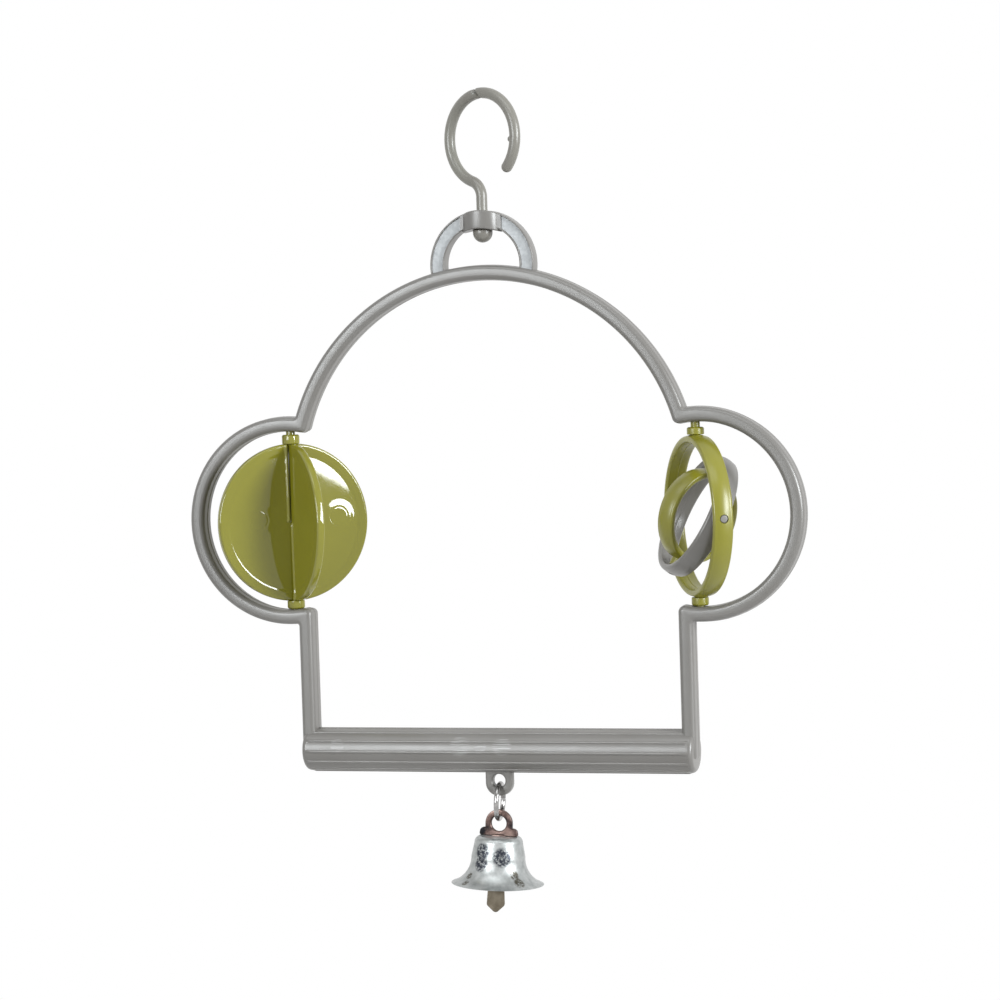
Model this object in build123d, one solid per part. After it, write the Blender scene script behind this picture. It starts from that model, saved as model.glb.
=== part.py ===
from build123d import *
from math import cos, radians, sin, sqrt, tan
import os

# Bird swing with two turning toys and a bell. Lengths are in millimetres, angles in degrees.
# The origin lies inside the hook, straight above its stem, where the cage bar bears.
# +Z is up and the front faces -Y.

# Hook: one moulded rod, bent to an open loop, a reverse bend and a stem that ends in a domed head
hook_rod = 2.4
hook_loop_radius = 9.75
hook_offset = 0.65
hook_yaw = -26.0
hook_tip_angle = -43.0
hook_bend_angle = 251.0
hook_stem = 2.85
hook_nub = 1.4
hook_nub_angle = -5.0
head_diameter = 4.3
head_rim = 0.65
head_edge = 0.25
swivel_clearance = 0.1
head_gap = 0.15

# Frame rod: widest on the parting plane, with draft towards both faces
rod_width = 3.4
rod_depth = 5.6
rod_draft = 2.5
parting_land = 0.1
rod_edge = 1.1
arch_radius = 45.0
bow_radius = 21.4
bow_x = 46.9
bow_drop = 8.15
post_x = 43.35
perch_drop = 51.0
outer_corner = 1.5
inner_corner = 0.4
end_disc_diameter = 9.3
end_disc_width = 2.9
end_disc_reach = 1.15
end_disc_edge = 1.0

# Swivel loop on top of the arch, with recessed legs and an upright boss
loop_outer_radius = 11.75
loop_width = 3.2
loop_depth = 3.4
loop_rim = 0.35
loop_edge = 0.25
pocket_depth = 0.4
block_width = 9.2
boss_diameter = 7.0
boss_overhang = 0.8

# Perch: ridged bar on two spigots, with the bell's lug under its middle
perch_diameter = 9.3
ridge_height = 0.25
ridge_width = 0.6
ridge_count = 12
ridge_start = 0.0
spigot_diameter = 5.0
spigot_length = 2.0
spigot_clearance = 0.05
lug_width = 6.1
lug_thickness = 2.2
lug_corner = 2.8
lug_edge = 0.35
lug_hole = 2.9
lug_hole_drop = 1.95
lug_wall = 1.85
lug_hole_edge = 0.5
lug_root = 2.3

# Pins and sockets that carry both toys in the side bows
toy_offset = 0.7
toy_pin = 2.0
toy_pin_reach = 2.0
toy_pin_clearance = 0.08
socket_floor_gap = 0.4
seat_gap = 0.3

# Spinner: two slotted discs pushed into each other
disc_thickness = 1.8
disc_edge = 0.45
slot_clearance = 0.25
slot_seat_gap = 0.08
spinner_turn = 41.0
spinner_collar = 3.9
spinner_top_collar = 2.0
spinner_foot_collar = 1.5
spinner_play = 0.65
collar_relief = 0.08
collar_edge = 0.3
mark_diameter = 4.6
mark_depth = 0.12
mark_offset = 10.4

# Gyro: three rings, each turning inside the next
gyro_turn = 32.6
gyro_collar = 3.7
gyro_top_collar = 1.55
gyro_foot_collar = 1.5
gyro_play = 1.1
middle_room = 1.9
middle_tilt = 26.7
inner_room = 1.65
inner_turn = -61.0
ring_wall = 1.8
ring_width = 4.4
ring_edge = 0.55
pivot_pin = 1.7
pivot_clearance = 0.1
pivot_recess = 0.2
pivot_shoulder = 3.0
shoulder_gap = 0.15

# Bell: jump ring, hanger plate, cup and clapper
wire_diameter = 1.1
wire_ring_radius = 3.85
wire_ring_yaw = 6.0
wire_ring_slit = 0.15
wire_gap = 0.15
bell_lean = 3.3
plate_thickness = 1.0
eye_hole = 3.4
eye_wall = 1.35
eye_flat = 0.1
eye_to_seat = 2.75
shoulder_width = 8.8
shoulder_height = 1.7
shoulder_corner = 1.3
tab_width = 3.0
tab_clearance = 0.05
tab_lip = 0.45
tab_lip_height = 0.6
cup_height = 10.45
cup_crown_radius = 5.3
cup_crown_round = 1.4
cup_waist_radius = 5.9
cup_waist_drop = 4.5
cup_flare_radius = 6.85
cup_flare_drop = 7.9
cup_mouth_radius = 10.15
cup_wall = 0.5
clapper_hole = 1.3
clapper_hole_drop = 2.0
clapper_pin_clearance = 0.1
clapper_gap = 0.2
clapper_thickness = 0.8
clapper_neck = 2.0
clapper_width = 4.0
clapper_neck_length = 4.6
clapper_side_length = 8.2
clapper_point = 1.7
clapper_corner = 0.7
clapper_hook_length = 1.5

# Heights worked out down from the hook's bearing point
hook_bend = radians(hook_bend_angle)
hook_bend_radius = -(hook_offset + hook_loop_radius * cos(hook_bend)) / (1 + cos(hook_bend))
hook_centre_z = -sqrt((hook_loop_radius - hook_rod / 2) ** 2 - hook_offset**2)
hook_bend_z = hook_centre_z + (hook_loop_radius + hook_bend_radius) * sin(hook_bend)
boss_top_z = hook_bend_z - hook_stem
loop_z = boss_top_z - loop_outer_radius
arch_z = loop_z - arch_radius - rod_width / 2
bow_z = arch_z - bow_drop
perch_z = bow_z - perch_drop
boss_foot_z = boss_top_z - loop_width - boss_overhang
disc_face_x = post_x + end_disc_reach - end_disc_width

# Toys: each fills the height of its bow, less collars, seat gap and play
toy_x = bow_x - toy_offset
bow_inside = bow_radius - rod_width / 2
bow_half_height = sqrt(bow_inside**2 - toy_offset**2)
disc_radius = bow_half_height - (seat_gap + spinner_foot_collar + spinner_top_collar + spinner_play) / 2
gyro_radius = bow_half_height - (seat_gap + gyro_foot_collar + gyro_top_collar + gyro_play) / 2
middle_radius = gyro_radius - ring_wall - middle_room
inner_radius = middle_radius - ring_wall - inner_room
spinner_z = bow_z - bow_half_height + seat_gap + spinner_foot_collar + disc_radius
gyro_z = bow_z - bow_half_height + seat_gap + gyro_foot_collar + gyro_radius

# Bell: hangs from the lug under the perch
lug_hole_z = perch_z - perch_diameter / 2 - lug_hole_drop
wire_apex_z = lug_hole_z - lug_hole / 2 + wire_diameter / 2 + wire_gap

UPWARD = (Align.CENTER, Align.CENTER, Align.MIN)
DOWNWARD = (Align.CENTER, Align.CENTER, Align.MAX)
STANDING = (Align.CENTER, Align.MIN)
HANGING = (Align.CENTER, Align.MAX)
SAME_RADIUS = 1e-6


def plate(sketch, thickness):
    """Stand a flat outline up in the front plane and thicken it evenly to both sides."""
    return extrude(Plane.XZ * sketch, thickness / 2, both=True)


def annulus(x, z, radius, width):
    return Pos(x, z) * (Circle(radius + width / 2) - Circle(radius - width / 2))


def post_up(radius, foot_z, top_z):
    """Upright round post between two heights."""
    return Pos(0, 0, foot_z) * Cylinder(radius, top_z - foot_z, align=UPWARD)


def both_ends(piece):
    """A feature on the upper end of an axis, repeated on the lower end."""
    return piece + Rot(180, 0, 0) * piece


def nearest(shape, x, z):
    return shape.vertices().sort_by_distance((x, z, 0))[0]


def hole_rims(shape, diameter):
    """The round edges of one hole."""
    circles = shape.edges().filter_by(GeomType.CIRCLE)
    return circles.filter_by(lambda edge: abs(edge.radius - diameter / 2) < SAME_RADIUS)


def upper_crossing(radius_a, radius_b):
    """Where a circle about the arch's centre meets one about the right bow's centre, above both."""
    span = sqrt(bow_x**2 + bow_drop**2)
    along = (radius_a**2 - radius_b**2 + span**2) / (2 * span)
    rise = sqrt(radius_a**2 - along**2)
    x = (along * bow_x + rise * bow_drop) / span
    z = (rise * bow_x - along * bow_drop) / span
    return x, arch_z + z


def make_hook():
    head_top_z = boss_foot_z - head_gap
    loop_span = hook_bend_angle - hook_tip_angle
    open_loop = CenterArc((hook_offset, hook_centre_z), hook_loop_radius, hook_tip_angle, loop_span)
    turn = hook_bend_angle - 180
    reverse_bend = CenterArc((-hook_bend_radius, hook_bend_z), hook_bend_radius, turn, -turn)
    stem = Line((0, hook_bend_z), (0, head_top_z))
    path = Plane.XZ * (open_loop + reverse_bend + stem)
    section = Plane(origin=path @ 0, z_dir=path % 0) * Circle(hook_rod / 2)
    rod = sweep(section, path=path)
    tip = Pos(path @ 0) * Sphere(hook_rod / 2)
    nub_angle = radians(hook_nub_angle)
    nub_reach = hook_loop_radius - hook_rod / 2
    nub_x = hook_offset + nub_reach * cos(nub_angle)
    nub = Pos(nub_x, 0, hook_centre_z + nub_reach * sin(nub_angle)) * Sphere(hook_nub / 2)
    head_radius = head_diameter / 2
    dome_z = head_top_z - head_rim
    dome = Sphere(head_radius, arc_size2=0, align=DOWNWARD)
    head = post_up(head_radius, dome_z, head_top_z) + Pos(0, 0, dome_z) * dome
    head = fillet(head.edges().filter_by(GeomType.CIRCLE).sort_by(Axis.Z)[-1:], head_edge)
    return Rot(0, 0, hook_yaw) * (rod + tip + nub + head)


def frame_outline():
    """Arch, side bows and posts in the front plane, with rounded corners where they meet."""
    ample = 4 * arch_radius
    above = Pos(0, bow_z) * Rectangle(ample, ample, align=STANDING)
    arch_inside = Pos(0, arch_z) * Circle(arch_radius - rod_width / 2) & above
    outline = annulus(0, arch_z, arch_radius, rod_width) & above
    between_posts = Rectangle(2 * post_x - rod_width, ample, align=HANGING)
    for side in (-1, 1):
        bow_hole = Pos(side * bow_x, bow_z) * Circle(bow_inside)
        bow = annulus(side * bow_x, bow_z, bow_radius, rod_width)
        bow = bow - arch_inside - Pos(0, bow_z) * between_posts
        foot = end_disc_diameter / 2
        post = Pos(side * post_x, perch_z - foot) * Rectangle(rod_width, perch_drop + foot, align=STANDING)
        outline = (outline - bow_hole) + bow + (post - bow_hole)
    bow_outside = bow_radius + rod_width / 2
    post_inside = post_x - rod_width / 2
    post_outside = post_x + rod_width / 2
    convex = [upper_crossing(arch_radius - rod_width / 2, bow_inside)]
    convex.append((post_inside, bow_z - sqrt(bow_inside**2 - (post_inside - bow_x) ** 2)))
    concave = [upper_crossing(arch_radius + rod_width / 2, bow_outside)]
    concave.append((post_outside, bow_z - sqrt(bow_outside**2 - (post_outside - bow_x) ** 2)))
    for corners, radius in ((convex, outer_corner), (concave, inner_corner)):
        for x, z in corners:
            for side in (-1, 1):
                outline = fillet(nearest(outline, side * x, z), radius)
    return outline


def make_swivel_loop():
    """Half ring with legs into the arch, pockets in both faces of each leg, and the drilled boss."""
    middle = loop_outer_radius - loop_width / 2
    ample = 4 * middle
    above = Pos(0, loop_z) * Rectangle(ample, ample, align=STANDING)
    arch_disc = Pos(0, arch_z) * Circle(arch_radius + rod_width / 2)

    def horseshoe(width):
        shape = annulus(0, loop_z, middle, width) & above
        for side in (-1, 1):
            shape += Pos(side * middle, loop_z) * Rectangle(width, rod_width, align=HANGING)
        return shape

    loop = plate(horseshoe(loop_width), loop_depth)
    faces = loop.faces().sort_by(Axis.Y)
    loop = fillet(faces[0].edges() + faces[-1].edges(), loop_edge)
    block = Pos(0, loop_z) * Rectangle(block_width, ample)
    pocket = plate(horseshoe(loop_width - 2 * loop_rim) - block - arch_disc, pocket_depth)
    for side in (-1, 1):
        loop -= Pos(0, side * (loop_depth - pocket_depth) / 2, 0) * pocket
    boss = post_up(boss_diameter / 2, boss_foot_z, boss_top_z)
    boss &= Pos(0, 0, loop_z) * Rot(90, 0, 0) * Cylinder(loop_outer_radius, boss_diameter)
    return loop + boss


def make_frame():
    half = extrude(frame_outline(), rod_depth / 2)
    face = half.faces().sort_by(Axis.Z)[-1]
    slope = (rod_depth - parting_land) / 2
    half = chamfer(face.edges(), slope * tan(radians(rod_draft)), slope, reference=face)
    half = fillet(half.faces().sort_by(Axis.Z)[-1].edges(), rod_edge)
    frame = Plane.XZ * (half + mirror(half, about=Plane.XY))
    frame += make_swivel_loop()
    end_disc = Rot(0, 90, 0) * Cylinder(end_disc_diameter / 2, end_disc_width)
    end_disc = fillet(end_disc.edges().filter_by(GeomType.CIRCLE).sort_by(Axis.X)[-1:], end_disc_edge)
    spigot_socket = Rot(0, 90, 0) * Cylinder(
        spigot_diameter / 2 + spigot_clearance, spigot_length + spigot_clearance, align=UPWARD
    )
    disc_x = disc_face_x + end_disc_width / 2
    socket_half = bow_half_height + toy_pin_reach + socket_floor_gap
    for side, turn in ((-1, 180), (1, 0)):
        frame += Pos(side * disc_x, 0, perch_z) * Rot(0, 0, turn) * end_disc
        frame -= Pos(side * disc_face_x, 0, perch_z) * Rot(0, 0, turn) * spigot_socket
        toy_sockets = post_up(toy_pin / 2 + toy_pin_clearance, -socket_half, socket_half)
        frame -= Pos(side * toy_x, 0, bow_z) * toy_sockets
    frame -= post_up(hook_rod / 2 + swivel_clearance, boss_foot_z - head_gap, 0)
    return frame


def make_perch():
    length = 2 * disc_face_x
    bar = Rot(0, 90, 0) * Cylinder(perch_diameter / 2, length)
    ridge_reach = perch_diameter / 2 + ridge_height - ridge_width / 2
    for step in range(ridge_count):
        angle = ridge_start + step * 360 / ridge_count
        ridge = Pos(0, 0, ridge_reach) * Rot(0, 90, 0) * Cylinder(ridge_width / 2, length)
        bar += Rot(angle, 0, 0) * ridge
    spigots = Rot(0, 90, 0) * Cylinder(spigot_diameter / 2, length + 2 * spigot_length)
    lug_foot = lug_hole_drop + lug_hole / 2 + lug_wall
    lug_top = lug_root - perch_diameter / 2
    outline = Pos(0, lug_top) * Rectangle(lug_width, lug_root + lug_foot, align=HANGING)
    outline = fillet(outline.vertices().sort_by(Axis.Y)[:2], lug_corner)
    lug = plate(outline, lug_thickness)
    faces = lug.faces().sort_by(Axis.Y)
    lug = fillet(faces[0].edges() + faces[-1].edges(), lug_edge)
    hole_z = lug_hole_z - perch_z
    hole = Pos(0, 0, hole_z) * Rot(90, 0, 0) * Cylinder(lug_hole / 2, 2 * lug_thickness)
    lug -= hole
    lug = fillet(hole_rims(lug, lug_hole), lug_hole_edge)
    return Pos(0, 0, perch_z) * (bar + spigots + lug)


def spinner_disc():
    """Flat disc in the front plane, with a round moulding mark either side of the axis on each face."""
    disc = Rot(90, 0, 0) * Cylinder(disc_radius, disc_thickness)
    disc = fillet(disc.edges().filter_by(GeomType.CIRCLE), disc_edge)
    mark = Rot(90, 0, 0) * Cylinder(mark_diameter / 2, 2 * mark_depth)
    for side in (-1, 1):
        for face in (-1, 1):
            disc -= Pos(side * mark_offset, face * disc_thickness / 2, 0) * mark
    return disc


def pin_and_collar(rim, diameter, height, gap):
    """Collar standing on a rim of a given radius, with a pin through the gap above it into the bow."""
    collar = post_up(diameter / 2, rim, rim + height)
    collar = fillet(collar.edges().filter_by(GeomType.CIRCLE).sort_by(Axis.Z)[-1:], collar_edge)
    return collar + post_up(toy_pin / 2, rim, rim + height + gap + toy_pin_reach)


def make_spinner():
    slot_width = disc_thickness + 2 * slot_clearance
    slot = Pos(0, 0, -slot_seat_gap) * Box(slot_width, 2 * disc_thickness, 2 * disc_radius, align=UPWARD)
    slotted = spinner_disc() - slot
    collar_foot = disc_radius + collar_relief
    neck_height = disc_edge + spinner_collar / 2
    neck = Pos(0, 0, collar_foot) * Box(spinner_collar / 2, disc_thickness, neck_height, align=DOWNWARD)
    top_height = spinner_top_collar - collar_relief
    top_end = neck + pin_and_collar(collar_foot, spinner_collar, top_height, spinner_play)
    foot_height = spinner_foot_collar - collar_relief
    foot_end = neck + pin_and_collar(collar_foot, spinner_collar, foot_height, seat_gap)
    place = Pos(-toy_x, 0, spinner_z) * Rot(0, 0, spinner_turn)
    lower = place * (slotted + Rot(180, 0, 0) * foot_end)
    upper = place * Rot(0, 0, 90) * (Rot(180, 0, 0) * slotted + top_end)
    return upper, lower


def ring_band(radius):
    """Flat-sided ring turning on the X axis of its own frame."""
    ring = Cylinder(radius, ring_width) - Cylinder(radius - ring_wall, ring_width)
    ring = fillet(ring.edges().filter_by(GeomType.CIRCLE), ring_edge)
    return Rot(0, 90, 0) * ring


def pivot_pins(ring_radius, carrier_radius):
    """Shoulder and pin on both ends of a ring's upright diameter, reaching through the carrying ring."""
    root = ring_radius - ring_wall / 2
    shoulder = post_up(pivot_shoulder / 2, root, carrier_radius - ring_wall - shoulder_gap)
    pin = post_up(pivot_pin / 2, root, carrier_radius - pivot_recess)
    return both_ends(shoulder + pin)


def pivot_holes(radius):
    return both_ends(post_up(pivot_pin / 2 + pivot_clearance, radius - 2 * ring_wall, radius + ring_wall))


def make_gyro():
    sunk = ring_wall / 2
    top_end = pin_and_collar(gyro_radius - sunk, gyro_collar, gyro_top_collar + sunk, gyro_play)
    foot_end = pin_and_collar(gyro_radius - sunk, gyro_collar, gyro_foot_collar + sunk, seat_gap)
    outer = ring_band(gyro_radius) + top_end + Rot(180, 0, 0) * foot_end
    outer -= Rot(90, 0, 0) * pivot_holes(gyro_radius)
    middle = ring_band(middle_radius) + Rot(90, 0, 0) * pivot_pins(middle_radius, gyro_radius)
    middle -= pivot_holes(middle_radius)
    inner = ring_band(inner_radius) + pivot_pins(inner_radius, middle_radius)
    outer_place = Pos(toy_x, 0, gyro_z) * Rot(0, 0, gyro_turn)
    middle_place = outer_place * Rot(0, middle_tilt, 0)
    inner_place = middle_place * Rot(0, 0, inner_turn)
    return outer_place * outer, middle_place * middle, inner_place * inner


# The bell's pieces are drawn hanging plumb, with the jump ring's topmost wire centre as their origin
bell_place = Pos(0, 0, wire_apex_z) * Rot(0, bell_lean, 0)
wire_foot_z = -2 * wire_ring_radius
eye_z = wire_foot_z + wire_diameter / 2 + wire_gap - eye_hole / 2
cup_top_z = eye_z - eye_to_seat
clapper_pivot_z = cup_top_z - cup_wall - clapper_hole_drop


def make_jump_ring():
    ring = Pos(0, 0, -wire_ring_radius) * Rot(0, 90, 0) * Torus(wire_ring_radius, wire_diameter / 2)
    slit = Box(2 * wire_diameter, 2 * wire_diameter, wire_ring_slit)
    ring -= Pos(0, wire_ring_radius, -wire_ring_radius) * slit
    return bell_place * Rot(0, 0, wire_ring_yaw) * ring


def make_bell_hanger():
    eye_radius = eye_hole / 2 + eye_wall
    eye = Pos(0, eye_z) * Circle(eye_radius)
    shoulders = Pos(0, cup_top_z) * Rectangle(shoulder_width, shoulder_height, align=STANDING)
    shoulders = fillet(shoulders.vertices().sort_by(Axis.Y)[-2:], shoulder_corner)
    web = Pos(0, cup_top_z) * Rectangle(2 * eye_radius, eye_to_seat, align=STANDING)
    tab_foot = clapper_pivot_z - clapper_hole
    tab_length = cup_top_z + shoulder_height / 2 - tab_foot
    tab = Pos(0, tab_foot) * Rectangle(tab_width, tab_length, align=STANDING)
    lip_width = tab_width + 2 * tab_lip
    lip = Pos(0, cup_top_z - cup_wall) * Rectangle(lip_width, tab_lip_height, align=HANGING)
    hanger = plate(eye + shoulders + web + tab + lip, plate_thickness)
    for z, diameter in ((eye_z, eye_hole), (clapper_pivot_z, clapper_hole)):
        hanger -= Pos(0, 0, z) * Rot(90, 0, 0) * Cylinder(diameter / 2, 2 * plate_thickness)
    return bell_place * fillet(hole_rims(hanger, eye_hole), (plate_thickness - eye_flat) / 2)


def make_bell_cup():
    crown_x = cup_crown_radius - cup_crown_round
    crown = (crown_x, cup_top_z)
    crown_mid = cup_crown_round * (1 - sqrt(0.5))
    crown_arc = (cup_crown_radius - crown_mid, cup_top_z - crown_mid)
    wall_top = (cup_crown_radius, cup_top_z - cup_crown_round)
    waist = (cup_waist_radius, cup_top_z - cup_waist_drop)
    flare = (cup_flare_radius, cup_top_z - cup_flare_drop)
    mouth = (cup_mouth_radius, cup_top_z - cup_height)
    outside = Line((0, cup_top_z), crown)
    outside += ThreePointArc(crown, crown_arc, wall_top)
    outside += Line(wall_top, waist)
    outside += ThreePointArc(waist, flare, mouth)
    inside = Line((0, cup_top_z - cup_wall), (crown_x, cup_top_z - cup_wall))
    inside += ThreePointArc(
        (crown_x, cup_top_z - cup_wall),
        (crown_arc[0] - cup_wall * sqrt(0.5), crown_arc[1] - cup_wall * sqrt(0.5)),
        (wall_top[0] - cup_wall, wall_top[1]),
    )
    inside += Line((wall_top[0] - cup_wall, wall_top[1]), (waist[0] - cup_wall, waist[1]))
    inside += ThreePointArc(
        (waist[0] - cup_wall, waist[1]), (flare[0] - cup_wall, flare[1]), (mouth[0] - cup_wall, mouth[1])
    )
    ends = Line(mouth, (mouth[0] - cup_wall, mouth[1])) + Line((0, cup_top_z), (0, cup_top_z - cup_wall))
    cup = revolve(Plane.XZ * make_face(outside + inside + ends), Axis.Z)
    slot = Box(tab_width + 2 * tab_clearance, plate_thickness + 2 * tab_clearance, 4 * cup_wall)
    cup -= Pos(0, 0, cup_top_z) * slot
    return bell_place * cup


def make_clapper():
    """Flat strip in front of the hanger's tab, with a round hook through the tab's hole and down behind."""
    neck_foot = clapper_pivot_z - clapper_neck_length
    side_foot = neck_foot - clapper_side_length
    half = clapper_width / 2
    pivot = Pos(0, clapper_pivot_z)
    strip = pivot * (Circle(clapper_neck / 2) + Rectangle(clapper_neck, clapper_neck_length, align=HANGING))
    shoulder = neck_foot + half - clapper_neck / 2
    outline = [(clapper_neck / 2, shoulder), (half, neck_foot), (half, side_foot)]
    outline.append((0, side_foot - clapper_point))
    outline += [(-x, z) for x, z in reversed(outline[:-1])]
    paddle = make_face(Polyline(*outline, close=True))
    paddle = fillet(paddle.vertices().sort_by(Axis.Y)[:3], clapper_corner)
    layer = plate_thickness / 2 + clapper_gap + clapper_thickness / 2
    front = Pos(0, -layer, 0) * plate(strip + paddle, clapper_thickness)
    turned_down = Circle(clapper_neck / 2) + Rectangle(clapper_neck, clapper_hook_length, align=HANGING)
    behind = Pos(0, layer, 0) * plate(pivot * turned_down, clapper_thickness)
    pin_radius = clapper_hole / 2 - clapper_pin_clearance
    pin = Pos(0, 0, clapper_pivot_z) * Rot(90, 0, 0) * Cylinder(pin_radius, 2 * layer)
    return bell_place * (front + behind + pin)


spinner_upper_disc, spinner_lower_disc = make_spinner()
gyro_outer_ring, gyro_middle_ring, gyro_inner_ring = make_gyro()
pieces = {
    "hook": make_hook(),
    "frame": make_frame(),
    "perch": make_perch(),
    "spinner_upper_disc": spinner_upper_disc,
    "spinner_lower_disc": spinner_lower_disc,
    "gyro_outer_ring": gyro_outer_ring,
    "gyro_middle_ring": gyro_middle_ring,
    "gyro_inner_ring": gyro_inner_ring,
    "jump_ring": make_jump_ring(),
    "bell_hanger": make_bell_hanger(),
    "bell_cup": make_bell_cup(),
    "clapper": make_clapper(),
}
os.makedirs("parts", exist_ok=True)
for name, piece in pieces.items():
    export_step(piece, f"parts/{name}.step")
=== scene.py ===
from math import acos, asin, atan2, cos, hypot, pi, radians, sin, sqrt, tan

import bmesh
import bpy
from mathutils import Matrix, Vector


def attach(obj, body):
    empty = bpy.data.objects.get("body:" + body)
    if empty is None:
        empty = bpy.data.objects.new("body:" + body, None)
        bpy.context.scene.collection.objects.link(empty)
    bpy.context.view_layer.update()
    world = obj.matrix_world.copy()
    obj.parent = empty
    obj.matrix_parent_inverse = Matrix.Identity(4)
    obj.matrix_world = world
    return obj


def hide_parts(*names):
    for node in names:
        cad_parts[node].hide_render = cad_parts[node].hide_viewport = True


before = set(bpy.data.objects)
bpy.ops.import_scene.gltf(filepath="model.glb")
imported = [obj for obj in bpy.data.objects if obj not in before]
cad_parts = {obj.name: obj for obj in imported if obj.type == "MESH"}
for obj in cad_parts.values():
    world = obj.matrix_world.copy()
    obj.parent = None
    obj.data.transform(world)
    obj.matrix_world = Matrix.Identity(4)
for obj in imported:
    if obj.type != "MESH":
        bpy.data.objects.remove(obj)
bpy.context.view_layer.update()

# Frame rod. One grey injection moulding runs round as an arch, a bow on each side and two posts.
# Its mould halves meet on the middle plane: the walls slope away from a fine flash line there,
# and the front and back faces have rounded edges.
MM = 0.001
ROD_WIDTH, ROD_DEPTH, ROD_EDGE, FACE_CROWN = 3.4, 5.6, 1.1, 0.015
WALL_SLOPE = tan(radians(2.5))
FLASH_HEIGHT, FLASH_TIP, FLASH_HALF_WIDTH, MOULD_MISMATCH = 0.05, 0.005, 0.12, 0.1
ARCH_RADIUS, ARCH_Z = 45.0, -82.583
BOW_RADIUS, BOW_X, BOW_Z = 21.4, 46.9, -90.733
POST_X, POST_FOOT, FOOT_EDGE, PERCH_Z = 43.35, -143.2, 0.6, -141.733
OUTSIDE_CORNER, INSIDE_CORNER = 0.4, 1.5


def skin(rings, closed=False):
    """Quads over a row of equal rings. An open row gets one face at each end."""
    count = len(rings[0])
    points = [point for ring in rings for point in ring]
    faces = []
    for i in range(len(rings) if closed else len(rings) - 1):
        here, there = i * count, (i + 1) % len(rings) * count
        for j in range(count):
            k = (j + 1) % count
            faces.append((here + j, here + k, there + k, there + j))
    if not closed:
        faces.append(tuple(range(count)))
        faces.append(tuple(range(len(points) - count, len(points))))
    return points, faces


def together(*shapes):
    """Several closed shapes as one."""
    points, faces = [], []
    for more_points, more_faces in shapes:
        start = len(points)
        points += more_points
        faces += [tuple(start + i for i in face) for face in more_faces]
    return points, faces


def moved(shape, *matrices):
    """A shape taken through placements, the last one first."""
    points, faces = shape
    place = Matrix.Identity(4)
    for matrix in matrices:
        place = place @ matrix
    return [tuple(place @ Vector(point)) for point in points], faces


def shift(x, y, z):
    return Matrix.Translation((x, y, z))


def turn(degrees, axis):
    return Matrix.Rotation(radians(degrees), 4, axis)


def as_mesh(name, shape):
    points, faces = shape
    mesh = bpy.data.meshes.new(name)
    mesh.from_pydata(points, [], faces)
    work = bmesh.new()
    work.from_mesh(mesh)
    bmesh.ops.recalc_face_normals(work, faces=work.faces)
    work.to_mesh(mesh)
    work.free()
    return mesh


def make_piece(name, shape, finish, body, node, sharp=40):
    """Turn a shape in millimetres into a smooth piece that rides on its body in place of its solid."""
    mesh = as_mesh(name, shape)
    mesh.transform(Matrix.Scale(MM, 4))
    mesh.shade_smooth()
    mesh.set_sharp_from_angle(angle=radians(sharp))
    mesh.materials.append(finish)
    piece = bpy.data.objects.new(name, mesh)
    bpy.context.scene.collection.objects.link(piece)
    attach(piece, body)
    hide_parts(node)
    return piece


def new_finish(name):
    """A material with its shader, and a maker of noise in the piece's own millimetres."""
    finish = bpy.data.materials.new(name)
    finish.use_nodes = True
    tree = finish.node_tree
    where = tree.nodes.new("ShaderNodeTexCoord")

    def noise(size_mm, detail=3, roughness=0.5, drawn_out=1):
        texture = tree.nodes.new("ShaderNodeTexNoise")
        texture.inputs["Scale"].default_value = 1 / (size_mm * MM)
        texture.inputs["Detail"].default_value = detail
        texture.inputs["Roughness"].default_value = roughness
        along_x = tree.nodes.new("ShaderNodeMapping")
        along_x.inputs["Scale"].default_value = (1 / drawn_out, 1, 1)
        tree.links.new(where.outputs["Object"], along_x.inputs["Vector"])
        tree.links.new(along_x.outputs["Vector"], texture.inputs["Vector"])
        return texture.outputs["Fac"]

    return finish, tree, tree.nodes["Principled BSDF"], noise


def tint(tree, factor, *stops):
    """Colours along a factor, from (position, colour) stops."""
    ramp = tree.nodes.new("ShaderNodeValToRGB")
    marks = ramp.color_ramp.elements
    while len(marks) < len(stops):
        marks.new(0.5)
    for mark, (position, colour) in zip(marks, stops):
        mark.position = position
        mark.color = (*colour, 1)
    tree.links.new(factor, ramp.inputs["Fac"])
    return ramp.outputs["Color"]


def spread(tree, factor, low, high, start=0.3, end=0.7):
    """A factor between start and end, stretched from low to high."""
    stretch = tree.nodes.new("ShaderNodeMapRange")
    stretch.inputs["From Min"].default_value = start
    stretch.inputs["From Max"].default_value = end
    stretch.inputs["To Min"].default_value = low
    stretch.inputs["To Max"].default_value = high
    tree.links.new(factor, stretch.inputs["Value"])
    return stretch.outputs["Result"]


def roughen(tree, shader, *layers):
    """Bump layers of (height factor, depth in millimetres), one over the other."""
    below = None
    for height, depth_mm in layers:
        bump = tree.nodes.new("ShaderNodeBump")
        bump.inputs["Distance"].default_value = depth_mm * MM
        tree.links.new(height, bump.inputs["Height"])
        if below:
            tree.links.new(below, bump.inputs["Normal"])
        below = bump.outputs["Normal"]
    tree.links.new(below, shader.inputs["Normal"])


def blend(tree, factor, below, colour):
    """A colour laid over another one where the factor is 1."""
    mix = tree.nodes.new("ShaderNodeMix")
    mix.data_type = "RGBA"
    mix.inputs["B"].default_value = (*colour, 1)
    tree.links.new(factor, mix.inputs["Factor"])
    tree.links.new(below, mix.inputs["A"])
    return mix.outputs["Result"]


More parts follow.
